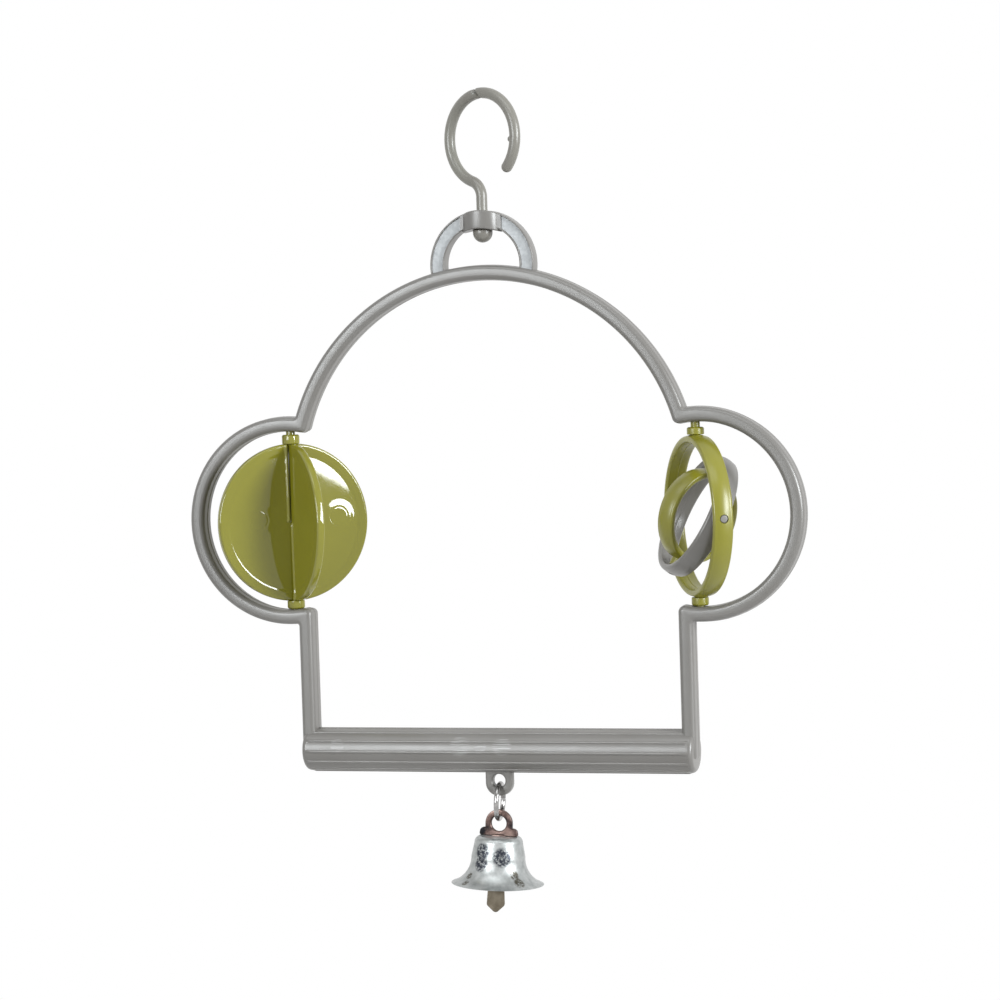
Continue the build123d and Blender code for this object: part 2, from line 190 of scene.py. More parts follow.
def marked(tree, below, pattern, spots):
    """A colour under blotches, each a (centre, radius, colour) in millimetres, broken up by a pattern."""
    for centre, radius, colour in spots:
        away = tree.nodes.new("ShaderNodeVectorMath")
        away.operation = "DISTANCE"
        away.inputs[1].default_value = [MM * value for value in centre]
        tree.links.new(tree.nodes["Texture Coordinate"].outputs["Object"], away.inputs[0])
        core = 0.7 * radius
        fading = spread(tree, away.outputs["Value"], 1, 0, core * MM, radius * MM)
        blotch = tree.nodes.new("ShaderNodeMath")
        blotch.operation = "MULTIPLY"
        tree.links.new(fading, blotch.inputs[0])
        tree.links.new(pattern, blotch.inputs[1])
        below = blend(tree, blotch.outputs["Value"], below, colour)
    return below


def moulded_plastic(name, dark, light, gloss, ripple_mm, ripple_depth_mm, pale_marks=()):
    """Moulded plastic: slow colour drift, uneven gloss, a rippled skin and pale marks in given places,
    broken into streaks.
    """
    finish, tree, shader, noise = new_finish(name)
    drift = tint(tree, noise(14, 2), (0.25, dark), (0.75, light))
    streaky_pattern = spread(tree, noise(0.25, 2, 0.6, 24), 0, 0.42, 0.5, 0.68)
    tree.links.new(marked(tree, drift, streaky_pattern, pale_marks), shader.inputs["Base Color"])
    tree.links.new(spread(tree, noise(3, 4), *gloss), shader.inputs["Roughness"])
    shader.inputs["IOR"].default_value = 1.6
    roughen(tree, shader, (noise(ripple_mm, 1), ripple_depth_mm), (noise(1.1, 0), 0.0008))
    return finish


GREY_DARK, GREY_LIGHT = (0.172, 0.162, 0.150), (0.195, 0.186, 0.175)
GREY_GLOSS, GREY_RIPPLE, GREY_RIPPLE_DEPTH = (0.28, 0.34), 3.0, 0.006
grey = moulded_plastic("grey_moulding", GREY_DARK, GREY_LIGHT, GREY_GLOSS, GREY_RIPPLE, GREY_RIPPLE_DEPTH)


def arc(centre, radius, start, end, steps, outward=1):
    """Points of an arc, each with its normal: away from the centre, or towards it with outward -1."""
    row = []
    for i in range(steps + 1):
        angle = start + (end - start) * i / steps
        x, z = cos(angle), sin(angle)
        row.append(((centre[0] + radius * x, centre[1] + radius * z), (outward * x, outward * z)))
    return row


def bearing(origin, target):
    return atan2(target[1] - origin[1], target[0] - origin[0])


def short_way(start, end):
    """The end angle that is less than half a turn from the start."""
    return start + (end - start + pi) % (2 * pi) - pi


def rod_edge(side, corner):
    """One edge of the right half of the rod, from the crown of the arch down to the foot of the post."""
    arch, bow = (0, ARCH_Z), (BOW_X, BOW_Z)
    arch_radius = ARCH_RADIUS + side * ROD_WIDTH / 2
    bow_radius = BOW_RADIUS + side * ROD_WIDTH / 2
    post = POST_X + side * ROD_WIDTH / 2
    drop = ARCH_Z - BOW_Z
    span = hypot(BOW_X, drop)
    along = ((arch_radius + corner) ** 2 - (bow_radius + corner) ** 2 + span**2) / (2 * span)
    rise = sqrt((arch_radius + corner) ** 2 - along**2)
    high = ((along * BOW_X + rise * drop) / span, ARCH_Z + (rise * BOW_X - along * drop) / span)
    low = (post + corner, BOW_Z - sqrt((bow_radius + corner) ** 2 - (post + corner - BOW_X) ** 2))
    row = arc(arch, arch_radius, pi / 2, bearing(arch, high), 90, side)
    start = bearing(high, arch)
    row += arc(high, corner, start, short_way(start, bearing(high, bow)), 7, -side)
    start = bearing(bow, high)
    row += arc(bow, bow_radius, start, bearing(bow, low), 130, side)
    start = bearing(low, bow)
    row += arc(low, corner, start, short_way(start, pi), 7, -side)
    reach = low[1] - POST_FOOT - FOOT_EDGE
    row += [((post, low[1] - reach * i / 12), (side, 0)) for i in range(1, 13)]
    return row


def rod_wall(setback):
    """Inset and depth of the rod's wall, from the flash line to the rounded edge of the face."""
    straight = ROD_DEPTH / 2 - FACE_CROWN - ROD_EDGE
    wall = [(FLASH_TIP, 0), (FLASH_TIP, FLASH_HALF_WIDTH / 2), (setback, FLASH_HALF_WIDTH)]
    wall += [(setback + WALL_SLOPE * straight * t, straight * t) for t in (0.3, 0.6, 0.85)]
    for i in range(15):
        angle = pi / 2 * i / 14
        inset = setback + WALL_SLOPE * straight + ROD_EDGE * (1 - cos(angle))
        wall.append((inset, straight + ROD_EDGE * sin(angle)))
    return wall


def rod_section(outer, inner):
    """Closed ring across the rod: outer wall, front face, inner wall, back face."""

    def row(edge, wall, face):
        (x, z), (nx, nz) = edge
        return [(x - nx * inset, face * depth, z - nz * inset) for inset, depth in wall]

    def across(a, b, face):
        spots = [(t, FACE_CROWN * 4 * t * (1 - t) * face) for t in (0.2, 0.4, 0.5, 0.6, 0.8)]
        return [(a[0] + (b[0] - a[0]) * t, a[1] + lift, a[2] + (b[2] - a[2]) * t) for t, lift in spots]

    front, back = rod_wall(FLASH_HEIGHT), rod_wall(FLASH_HEIGHT + MOULD_MISMATCH)[1:]
    up, down = row(outer, front, -1), row(inner, front, -1)[::-1]
    rear_down, rear_up = row(inner, back, 1), row(outer, back, 1)[::-1]
    front_face, back_face = across(up[-1], down[0], -1), across(rear_down[-1], rear_up[0], 1)
    return up + front_face + down + rear_down + back_face + rear_up


edges = zip(rod_edge(1, OUTSIDE_CORNER), rod_edge(-1, INSIDE_CORNER))
right_half = [rod_section(outer, inner) for outer, inner in edges]
foot_ring = right_half[-1]
for i in range(1, 7):
    run, rise = FOOT_EDGE * (1 - cos(pi / 12 * i)), FOOT_EDGE * sin(pi / 12 * i)
    narrow, thin = 1 - 2 * run / ROD_WIDTH, 1 - 2 * run / ROD_DEPTH
    right_half.append([(POST_X + (x - POST_X) * narrow, y * thin, z - rise) for x, y, z in foot_ring])
left_half = [[(-x, y, z) for x, y, z in ring] for ring in right_half[:0:-1]]
make_piece("frame_rod", skin(left_half + right_half), grey, "frame", "frame")

# Swivel loop. A half ring on top of the arch, in the same shot of grey plastic as the rod.
# Both faces of its legs are sunk to a thin web that was left matt by the mould,
# and the upright oval boss between them is drilled for the hook.
LOOP_Z, LOOP_OUTER, LOOP_INNER, LOOP_DEPTH, LOOP_EDGE = -35.883, 11.75, 8.55, 3.4, 0.25
POCKET_RIM, POCKET_DEPTH, POCKET_SLOPE, POCKET_LIP = 0.28, 0.4, 0.08, 0.05
LEG_SHARES = [-0.2 + 0.03 * i for i in range(41)]
BLOCK_HALF_WIDTH = 4.6
BOSS_HALF_WIDTH, BOSS_HALF_DEPTH, BOSS_FOOT, BOSS_EDGE = 4.4, 3.5, -28.133, 0.3


def quarter(radius, steps=5):
    """Run and rise of a rounded edge, from its side to its top."""
    angles = [pi / 2 * i / steps for i in range(steps + 1)]
    return [(radius * (1 - cos(angle)), radius * sin(angle)) for angle in angles]


def loop_section(outer_turn, inner_turn, sunk):
    """Closed ring across the half ring; its faces are sunk between two rims where sunk is 1."""
    half, width = LOOP_DEPTH / 2, LOOP_OUTER - LOOP_INNER
    edge = [(run, half - LOOP_EDGE + rise) for run, rise in quarter(LOOP_EDGE)]
    edge += [(POCKET_RIM, half), (POCKET_RIM + POCKET_LIP, half - POCKET_LIP * sunk)]
    edge.append((POCKET_RIM + POCKET_LIP + POCKET_SLOPE, half - POCKET_DEPTH * sunk))
    row = edge + [(width * t, half - POCKET_DEPTH * sunk) for t in (0.4, 0.5, 0.6)]
    row += [(width - inset, depth) for inset, depth in edge[::-1]]
    ring = []
    for face, side in ((-1, row), (1, row[::-1])):
        for inset, depth in side:
            angle = inner_turn + (outer_turn - inner_turn) * inset / width
            radius = LOOP_INNER + inset
            ring.append((radius * cos(angle), face * depth, LOOP_Z + radius * sin(angle)))
    return ring


outer_end, inner_end = acos(BLOCK_HALF_WIDTH / LOOP_OUTER), acos(BLOCK_HALF_WIDTH / LOOP_INNER)
wall_end = POCKET_SLOPE / LOOP_OUTER
half_loop = [loop_section(outer_end * t, inner_end * t, 1) for t in LEG_SHARES]
for i in range(25):
    outer_turn = outer_end + wall_end + (pi / 2 - outer_end - wall_end) * i / 24
    inner_turn = inner_end + wall_end + (pi / 2 - inner_end - wall_end) * i / 24
    half_loop.append(loop_section(outer_turn, inner_turn, 0))
loop_shape = skin(half_loop + [[(-x, y, z) for x, y, z in ring] for ring in half_loop[-2::-1]])


def boss_ring(inset, drop, steps=96):
    """Oval ring of the boss at a drop below the round outside of the half ring."""
    ring = []
    for i in range(steps):
        x = (BOSS_HALF_WIDTH - inset) * cos(2 * pi * i / steps)
        y = (BOSS_HALF_DEPTH - inset) * sin(2 * pi * i / steps)
        ring.append((x, y, LOOP_Z + sqrt(LOOP_OUTER**2 - x**2) - drop))
    return ring


boss_core = 0.9 * BOSS_HALF_DEPTH
boss_rings = [boss_ring(boss_core, 0)]
boss_rings += [boss_ring(BOSS_EDGE - rise, run) for run, rise in quarter(BOSS_EDGE)]
boss_drop = LOOP_Z + LOOP_OUTER - BOSS_FOOT
boss_rings += [boss_ring(run, boss_drop - BOSS_EDGE + rise) for run, rise in quarter(BOSS_EDGE)]
boss_rings.append(boss_ring(boss_core, boss_drop))
swivel_loop = together(loop_shape, skin(boss_rings))
make_piece("swivel_loop", swivel_loop, grey, "frame", "frame", sharp=50)

WEB_DARK, WEB_LIGHT, WEB_PROUD = (0.40, 0.415, 0.425), (0.50, 0.515, 0.525), 0.01
matt_grey, tree, shader, noise = new_finish("matt_grey_moulding")
web_grey = tint(tree, noise(0.8, 5), (0.35, WEB_DARK), (0.65, WEB_LIGHT))
tree.links.new(web_grey, shader.inputs["Base Color"])
tree.links.new(spread(tree, noise(0.5, 4), 0.35, 0.55), shader.inputs["Roughness"])
roughen(tree, shader, (noise(0.35, 4), 0.02))


def web_section(t):
    """Ring across the web, just proud of the floors of its two pockets."""
    inset = POCKET_RIM + POCKET_LIP + POCKET_SLOPE
    half, width = LOOP_DEPTH / 2 - POCKET_DEPTH + WEB_PROUD, LOOP_OUTER - LOOP_INNER
    row = [inset + (width - 2 * inset) * i / 6 for i in range(7)]
    ring = []
    for face, side in ((-1, row), (1, row[::-1])):
        for reach in side:
            angle = (inner_end + (outer_end - inner_end) * reach / width) * t
            radius = LOOP_INNER + reach
            ring.append((radius * cos(angle), face * half, LOOP_Z + radius * sin(angle)))
    return ring


web = [web_section(t) for t in LEG_SHARES]
webs = together(skin(web), skin([[(-x, y, z) for x, y, z in ring] for ring in web]))
make_piece("loop_webs", webs, matt_grey, "frame", "frame", sharp=50)

# End discs. Thick round buttons at the foot of each post, again one piece with the rod.
# The perch's spigots are pushed into them from the inner side.
END_RADIUS, END_INNER, END_OUTER, END_INNER_EDGE, END_OUTER_EDGE = 4.62, 41.6, 44.5, 0.1, 1.0


def lathe(profile, steps=96):
    """Round shape about the Z axis from (radius, height) pairs, closed by a face at each end."""
    angles = [2 * pi * i / steps for i in range(steps)]
    rings = []
    for radius, z in profile:
        rings.append([(radius * cos(angle), radius * sin(angle), z) for angle in angles])
    return skin(rings)


def button(radius, foot, top, foot_edge, top_edge, steps=8):
    """Profile of a short round post with rounded edges."""
    core = 0.2 * radius
    profile = [(core, foot)]
    profile += [(radius - foot_edge + rise, foot + run) for run, rise in quarter(foot_edge, steps)]
    profile += [(radius - run, top - top_edge + rise) for run, rise in quarter(top_edge, steps)]
    return profile + [(core, top)]


end_disc = lathe(button(END_RADIUS, END_INNER, END_OUTER, END_INNER_EDGE, END_OUTER_EDGE))
end_discs = [moved(end_disc, shift(0, 0, PERCH_Z), turn(side * 90, "Y")) for side in (-1, 1)]
make_piece("end_discs", together(*end_discs), grey, "frame", "frame")

# Hook. One moulded rod, bent to an open loop and a reverse bend, with a stem down through the boss.
# A small stop stands inside the loop near the tip, a slanted nick crosses the top of the loop,
# and the domed head keeps the stem in the boss.
HOOK_ROD, HOOK_YAW = 1.195, -26
HOOK_LOOP_RADIUS, HOOK_LOOP_X, HOOK_LOOP_Z = 9.75, 0.65, -8.525
HOOK_TIP, HOOK_BEND = radians(-43), radians(251)
BEND_RADIUS, BEND_Z = 3.743, -21.283
HEAD_RADIUS, HEAD_TOP, HEAD_RIM, HEAD_EDGE, HEAD_CORE = 2.15, -28.283, 0.65, 0.25, 0.4
STOP_RADIUS, STOP_ANGLE = 0.7, radians(-5)
NICK_ANGLE, NICK_SLANT, NICK_DEPTH, NICK_HALF_WIDTH = radians(93), 0.8, 0.85, 0.34
NICK_BACK, NICK_FRONT, NICK_DIP, NICK_RUN = 0.25, 0.2, 0.14, 1.3
HOOK_DARK, HOOK_LIGHT, HOOK_PALE = (0.190, 0.174, 0.155), (0.232, 0.224, 0.192), (0.80, 0.86, 0.83)
# Two pale greenish-white patches laid into the hook's colour just left of the nick.
PALE_PLACES = (((-0.9, -0.5, 1.75), 0.9, HOOK_PALE), ((-0.8, -0.6, 1.6), 0.7, HOOK_PALE))
hook_grey = moulded_plastic("hook_moulding", HOOK_DARK, HOOK_LIGHT, GREY_GLOSS, 4.0, 0.006, PALE_PLACES)

path = []
for (x, z), (nx, nz) in arc((HOOK_LOOP_X, HOOK_LOOP_Z), HOOK_LOOP_RADIUS, HOOK_TIP, HOOK_BEND, 420):
    path.append((x, z, nx, nz))
for (x, z), (nx, nz) in arc((-BEND_RADIUS, BEND_Z), BEND_RADIUS, HOOK_BEND - pi, 0, 40, -1)[1:]:
    path.append((x, z, nx, nz))
path += [(0, BEND_Z + (HEAD_TOP - BEND_Z) * i / 8, -1, 0) for i in range(1, 9)]


def rod_ring(x, z, nx, nz, radius, steps=40):
    """Round ring across a rod that lies in the front plane, with the nick where it crosses."""
    along = HOOK_LOOP_RADIUS * (atan2(nz, nx) - NICK_ANGLE) if z > HOOK_LOOP_Z else HOOK_LOOP_RADIUS
    ring = []
    for i in range(steps):
        across, out = cos(2 * pi * i / steps), sin(2 * pi * i / steps)
        off = along - NICK_SLANT * across
        depth = NICK_DEPTH * max(NICK_BACK, NICK_FRONT - out)
        reach = radius - depth * max(0, 1 - abs(off) / NICK_HALF_WIDTH)
        if off > 0:
            reach -= NICK_DIP * max(0, 1 - off / NICK_RUN)
        ring.append((x + nx * reach * across, reach * out, z + nz * reach * across))
    return ring


hook_rings = []
x, z, nx, nz = path[0]
for i in range(8):
    angle = pi / 2 * (i + 0.4) / 8
    reach = HOOK_ROD * cos(angle)
    hook_rings.append(rod_ring(x + nz * reach, z - nx * reach, nx, nz, HOOK_ROD * sin(angle)))
hook_rings += [rod_ring(*station, HOOK_ROD) for station in path]
head_profile = [(HEAD_CORE, HEAD_TOP)]
head_profile += [(HEAD_RADIUS - HEAD_EDGE + rise, HEAD_TOP - run) for run, rise in quarter(HEAD_EDGE)]
for i in range(1, 12):
    angle = pi / 2 * i / 12
    head_profile.append((HEAD_RADIUS * cos(angle), HEAD_TOP - HEAD_RIM - HEAD_RADIUS * sin(angle)))
stop_x = HOOK_LOOP_X + (HOOK_LOOP_RADIUS - HOOK_ROD) * cos(STOP_ANGLE)
stop_z = HOOK_LOOP_Z + (HOOK_LOOP_RADIUS - HOOK_ROD) * sin(STOP_ANGLE)
stop_profile = []
for i in range(1, 16):
    angle = pi * i / 16
    stop_profile.append((STOP_RADIUS * sin(angle), STOP_RADIUS * cos(angle)))
stop = moved(lathe(stop_profile, 32), shift(stop_x, 0, stop_z))
hook_shape = together(skin(hook_rings), lathe(head_profile), stop)
make_piece("hook", moved(hook_shape, turn(HOOK_YAW, "Z")), hook_grey, "hook", "hook")

# Perch. A grey bar with twelve fine ridges along it for grip, pushed between the two end discs.
# It was moulded in one with the lug under its middle, whose hole has well rounded rims.
PERCH_RADIUS, PERCH_HALF_LENGTH = 4.65, 43.5
RIDGE_COUNT, RIDGE_HEIGHT, RIDGE_HALF_WIDTH, RIDGE_RUN_OUT = 12, 0.25, 0.34, 0.8
LUG_HALF_WIDTH, LUG_HALF_THICKNESS, LUG_CORNER, LUG_EDGE = 3.05, 1.1, 2.8, 0.5
LUG_HOLE_RADIUS, LUG_HOLE_EDGE, LUG_HOLE_Z = 1.45, 0.5, -148.333
LUG_FOOT, LUG_TOP = -3.3, 4.2
PALE_SCUFF, SCUFF_Y, SCUFF_Z = (0.62, 0.62, 0.60), -4.5, -140.4
SCUFF_SPOTS = ((-36, 1.8), (-7.5, 2.6), (-3, 1.7), (2, 2.4))
SCUFFS = [((x, SCUFF_Y, SCUFF_Z), radius, PALE_SCUFF) for x, radius in SCUFF_SPOTS]
scuffed_grey = moulded_plastic(
    "scuffed_grey_moulding", GREY_DARK, GREY_LIGHT, GREY_GLOSS, GREY_RIPPLE, GREY_RIPPLE_DEPTH, SCUFFS
)


def perch_ring(x):
    """Ring across the bar; the ridges run out just before its ends."""
    height = RIDGE_HEIGHT * min(1, (PERCH_HALF_LENGTH - abs(x)) / RIDGE_RUN_OUT)
    pitch = 2 * pi * PERCH_RADIUS / RIDGE_COUNT
    marks = [RIDGE_HALF_WIDTH * (j / 5 - 1) for j in range(11)]
    marks += [RIDGE_HALF_WIDTH + (pitch - 2 * RIDGE_HALF_WIDTH) * j / 9 for j in range(1, 9)]
    ring = []
    for i in range(RIDGE_COUNT):
        for mark in marks:
            angle = (pitch * i + mark) / PERCH_RADIUS
            radius = PERCH_RADIUS + height * sqrt(max(0, 1 - (mark / RIDGE_HALF_WIDTH) ** 2))
            ring.append((x, -radius * sin(angle), PERCH_Z + radius * cos(angle)))
    return ring


def outline(corners, spacing=0.25):
    """Points and outward normals along a closed outline, given anticlockwise as (x, z, corner radius)."""
    row = []
    count = len(corners)
    ends = []
    for i, (x, z, radius) in enumerate(corners):
        x0, z0, _ = corners[i - 1]
        x1, z1, _ = corners[(i + 1) % count]
        into = Vector((x - x0, z - z0)).normalized()
        away = Vector((x1 - x, z1 - z)).normalized()
        bend = atan2(into.x * away.y - into.y * away.x, into.dot(away))
        reach = radius * tan(abs(bend) / 2)
        ends.append((Vector((x, z)) - into * reach, Vector((x, z)) + away * reach, into, away, bend, radius))
    for i, (start, end, into, away, bend, radius) in enumerate(ends):
        side = 1 if bend > 0 else -1
        centre = start + Vector((-into.y, into.x)) * radius * side
        steps = max(2, int(abs(bend) * radius / spacing * 2)) if radius else 0
        for j in range(steps + 1):
            angle = bend * j / steps if steps else bend / 2
            c, s = cos(angle), sin(angle)
            heading = Vector((into.x * c - into.y * s, into.x * s + into.y * c))
            normal = Vector((heading.y, -heading.x))
            point = centre + normal * radius * side
            row.append((tuple(point), tuple(normal)))
        ahead = ends[(i + 1) % count][0]
        steps = max(1, int((ahead - end).length / spacing / 2))
        for j in range(1, steps):
            point = end + (ahead - end) * j / steps
            row.append((tuple(point), (away.y, -away.x)))
    return row


def plate(row, half_thickness, edge):
    """Flat plate in the front plane with rounded edges all round."""
    sides = [(run, half_thickness - edge + rise) for run, rise in quarter(edge, 4)]
    layers = sides[::-1] + [(inset, -depth) for inset, depth in sides]
    return skin([[(x - nx * inset, y, z - nz * inset) for (x, z), (nx, nz) in row] for inset, y in layers])


def eye_plate(row, half_thickness, edge, hole_radius, hole_edge):
    """Flat plate about the origin of the front plane, with rounded edges and a round-rimmed hole."""
    outside = [(run, half_thickness - edge + rise) for run, rise in quarter(edge, 4)]
    inside = [(run, half_thickness - hole_edge + rise) for run, rise in quarter(hole_edge, 8)]
    rings = []
    for (x, z), (nx, nz) in row:
        out = hypot(x, z)
        ux, uz = x / out, z / out
        front = [(x - nx * inset, -depth, z - nz * inset) for inset, depth in outside]
        bore = [((hole_radius + inset) * ux, -depth, (hole_radius + inset) * uz) for inset, depth in inside]
        middle = tuple((p + q) / 2 for p, q in zip(front[-1], bore[-1]))
        half = front + [middle] + bore[::-1]
        rings.append(half + [(px, -py, pz) for px, py, pz in half[::-1]])
    return skin(rings, closed=True)


stations = [-PERCH_HALF_LENGTH + RIDGE_RUN_OUT * i / 4 for i in range(5)]
stations += [(PERCH_HALF_LENGTH - RIDGE_RUN_OUT) * (i / 20 - 1) for i in range(1, 40)]
stations += [PERCH_HALF_LENGTH - RIDGE_RUN_OUT * (4 - i) / 4 for i in range(5)]
perch_bar = skin([perch_ring(x) for x in stations])
lug_outline = outline(
    [
        (-LUG_HALF_WIDTH, LUG_FOOT, LUG_CORNER),
        (LUG_HALF_WIDTH, LUG_FOOT, LUG_CORNER),
        (LUG_HALF_WIDTH, LUG_TOP, 0),
        (-LUG_HALF_WIDTH, LUG_TOP, 0),
    ]
)
lug = eye_plate(lug_outline, LUG_HALF_THICKNESS, LUG_EDGE, LUG_HOLE_RADIUS, LUG_HOLE_EDGE)
perch_shape = together(perch_bar, moved(lug, shift(0, 0, LUG_HOLE_Z)))
make_piece("perch", perch_shape, scuffed_grey, "frame", "perch", sharp=50)

# Spinner. Two olive discs, slotted to the middle and pushed into each other, on pins in the left bow.
# They came out of a polished mould slightly bowed, with two low steps inside the rim,
# two ejector pads on each face and a bead along both sides of the slot.
SPINNER_X, TOY_Z, SPINNER_TURN = -46.2, -91.158, 41
DISC_RADIUS, DISC_HALF_THICKNESS, DISC_EDGE = 17.46, 0.74, 0.5
DISC_STEPS, DISC_TURN_STEPS, DISC_LIP, DISC_RIM_TRIM = 110, 320, 0.05, 0.004
LOWER_BOW, UPPER_BOW = 0.45, 0.15
RIM_STEPS = ((14.9, 15.8, 0.08), (15.7, 17.3, 0.08))
SLOT_HALF_WIDTH, BEAD_WIDTH, BEAD_HEIGHT = 1.02, 0.7, 0.35
PADS = ((-8.4, 0.8, 0.03), (10.5, 0.9, 0.08))
PAD_RADIUS, PAD_SLOPE, PAD_RING_RADIUS, PAD_RING_WIDTH, PAD_RING_DEPTH = 3.9, 1.7, 2.1, 0.25, 0.02
COLLAR_RADIUS, COLLAR_SEAT, COLLAR_FOOT_EDGE, COLLAR_TOP_EDGE = 1.95, 0.05, 0.15, 0.45
PIN_RADIUS, PIN_ROOT, PIN_REACH, PIN_FOOT_EDGE, PIN_TOP_EDGE = 1.0, 1.2, 1.5, 0.1, 0.2
TOP_COLLAR, FOOT_COLLAR, TOP_GAP, FOOT_GAP = 2.0, 1.72, 0.95, 0.08
HUB_HALF_WIDTH, HUB_HALF_DEPTH, HUB_NEAR, HUB_FAR = 1.0, 0.7, 0.1, 1.4
OLIVE_DARK, OLIVE_LIGHT = (0.214, 0.200, 0.012), (0.238, 0.224, 0.018)
POLISH = (0.03, 0.06)
polished_olive = moulded_plastic("polished_olive_moulding", OLIVE_DARK, OLIVE_LIGHT, POLISH, 5.0, 0.002)


def eased(share):
    """A share from 0 to 1 with soft ends."""
    share = min(1, max(0, share))
    return share * share * (3 - 2 * share)


def disc_depth(x, z):
    """Half thickness of the disc: flat face, rim steps, ejector pads, slot beads and rounded rim."""
    out = hypot(x, z)
    depth = DISC_HALF_THICKNESS
    for start, end, height in RIM_STEPS:
        depth += height * eased((out - start) / (end - start))
    for pad_x, pad_z, height in PADS:
        away = hypot(x - pad_x, z - pad_z)
        depth += height * eased((PAD_RADIUS - away) / PAD_SLOPE)
        depth -= PAD_RING_DEPTH * eased(1 - abs(away - PAD_RING_RADIUS) / PAD_RING_WIDTH)
    beside = (abs(x) - SLOT_HALF_WIDTH) / BEAD_WIDTH
    if z > 0 and beside < 1:
        depth += BEAD_HEIGHT * min(1, z / BEAD_WIDTH) * sqrt(max(0, 1 - (2 * beside - 1) ** 2))
    rim = max(0, 1 - (DISC_RADIUS - out) / DISC_EDGE)
    return depth - DISC_EDGE * (1 - sqrt(max(0, 1 - rim * rim)))


def slotted_disc(bowed):
    """Disc in the front plane, open along a slot from its middle up to the rim."""
    start, flat = SLOT_HALF_WIDTH * 1.01, DISC_RADIUS - DISC_EDGE
    radii = [start + (flat - start) * i / DISC_STEPS for i in range(DISC_STEPS + 1)]
    radii += [flat + DISC_EDGE * sin(pi / 2 * i / 7) for i in range(1, 7)] + [DISC_RADIUS - DISC_RIM_TRIM]
    rings = []
    for i in range(DISC_TURN_STEPS + 1):
        row = []
        for radius in radii:
            opening = asin(SLOT_HALF_WIDTH / radius)
            share = 0.5 * i / DISC_TURN_STEPS + 0.25 * (1 - cos(pi * i / DISC_TURN_STEPS))
            angle = opening + (2 * pi - 2 * opening) * share
            x, z = radius * sin(angle), radius * cos(angle)
            bow = bowed * ((radius / DISC_RADIUS) ** 2 - 0.5)
            row.append((x, z, bow, max(DISC_LIP, disc_depth(x, z))))
        front = [(x, bow - depth, z) for x, z, bow, depth in row]
        rings.append(front + [(x, bow + depth, z) for x, z, bow, depth in row[::-1]])
    return skin(rings)


def pin_and_collar(rim, collar_radius, height, gap):
    """Collar on the upper rim of a toy, with its pin up into the bow."""
    collar = button(collar_radius, rim - COLLAR_SEAT, rim + height, COLLAR_FOOT_EDGE, COLLAR_TOP_EDGE)
    pin_top = rim + height + gap + PIN_REACH
    pin = button(PIN_RADIUS, rim - PIN_ROOT, pin_top, PIN_FOOT_EDGE, PIN_TOP_EDGE)
    return together(lathe(collar, 64), lathe(pin, 48))


def block(half_x, half_y, foot, top, corner=0.2, edge=0.1):
    """Small block with rounded corners, from a foot to a top height."""
    spots = ((-half_x, foot), (half_x, foot), (half_x, top), (-half_x, top))
    return plate(outline([(x, z, corner) for x, z in spots]), half_y, edge)


spinner_place = shift(SPINNER_X, 0, TOY_Z) @ turn(SPINNER_TURN, "Z")
foot_end = moved(pin_and_collar(DISC_RADIUS, COLLAR_RADIUS, FOOT_COLLAR, FOOT_GAP), turn(180, "X"))
lower_hub = block(HUB_HALF_WIDTH, HUB_HALF_DEPTH, -HUB_FAR, -HUB_NEAR)
lower_disc = moved(together(slotted_disc(LOWER_BOW), lower_hub, foot_end), spinner_place)
make_piece(
    "spinner_lower_disc", lower_disc, polished_olive,
    "spinner", "spinner_lower_disc", sharp=50,
)
top_end = pin_and_collar(DISC_RADIUS, COLLAR_RADIUS, TOP_COLLAR, TOP_GAP)
upper_hub = block(HUB_HALF_WIDTH, HUB_HALF_DEPTH, HUB_NEAR, HUB_FAR)
upper_disc = together(moved(slotted_disc(UPPER_BOW), turn(180, "X")), upper_hub, top_end)
upper_disc = moved(upper_disc, spinner_place @ turn(90, "Z"))
make_piece(
    "spinner_upper_disc", upper_disc, polished_olive,
    "spinner", "spinner_upper_disc", sharp=50,
)

# Gyro. Three moulded rings, each turning inside the next on two stub pins, olive, grey and olive.
# The outer ring turns on pins in the right bow; the ends of the middle ring's pins show in its holes.
GYRO_X, GYRO_TURN, MIDDLE_TILT, INNER_TURN = 46.2, 32.6, 26.7, -61
OUTER_RING, MIDDLE_RING, INNER_RING = 17.46, 13.76, 10.31
RING_WALL, RING_HALF_WIDTH, RING_EDGE, RING_CROWN = 1.8, 2.2, 0.6, 0.3
PIVOT_RADIUS, PIVOT_HOLE, PIVOT_RECESS, SHOULDER_RADIUS, SHOULDER_GAP = 0.85, 0.95, 0.2, 1.5, 0.15
GYRO_COLLAR_RADIUS, GYRO_TOP_COLLAR, GYRO_TOP_GAP = 1.85, 1.55, 1.4
SEAM_HEIGHT, SEAM_HALF_WIDTH = 0.07, 0.16
olive = moulded_plastic("olive_moulding", OLIVE_DARK, OLIVE_LIGHT, (0.28, 0.36), 4.0, 0.006)


def cut(shape, tool):
    """A shape with a tool's shape taken out of it."""
    block_piece = bpy.data.objects.new("cut_block", as_mesh("cut_block", shape))
    tool_piece = bpy.data.objects.new("cut_tool", as_mesh("cut_tool", tool))
    for piece in (block_piece, tool_piece):
        bpy.context.scene.collection.objects.link(piece)
    knife = block_piece.modifiers.new("knife", "BOOLEAN")
    knife.object = tool_piece
    knife.solver = "EXACT"
    result = block_piece.evaluated_get(bpy.context.evaluated_depsgraph_get()).to_mesh()
    points = [tuple(vertex.co) for vertex in result.vertices]
    faces = [tuple(face.vertices) for face in result.polygons]
    for piece in (block_piece, tool_piece):
        bpy.data.objects.remove(piece)
    return points, faces


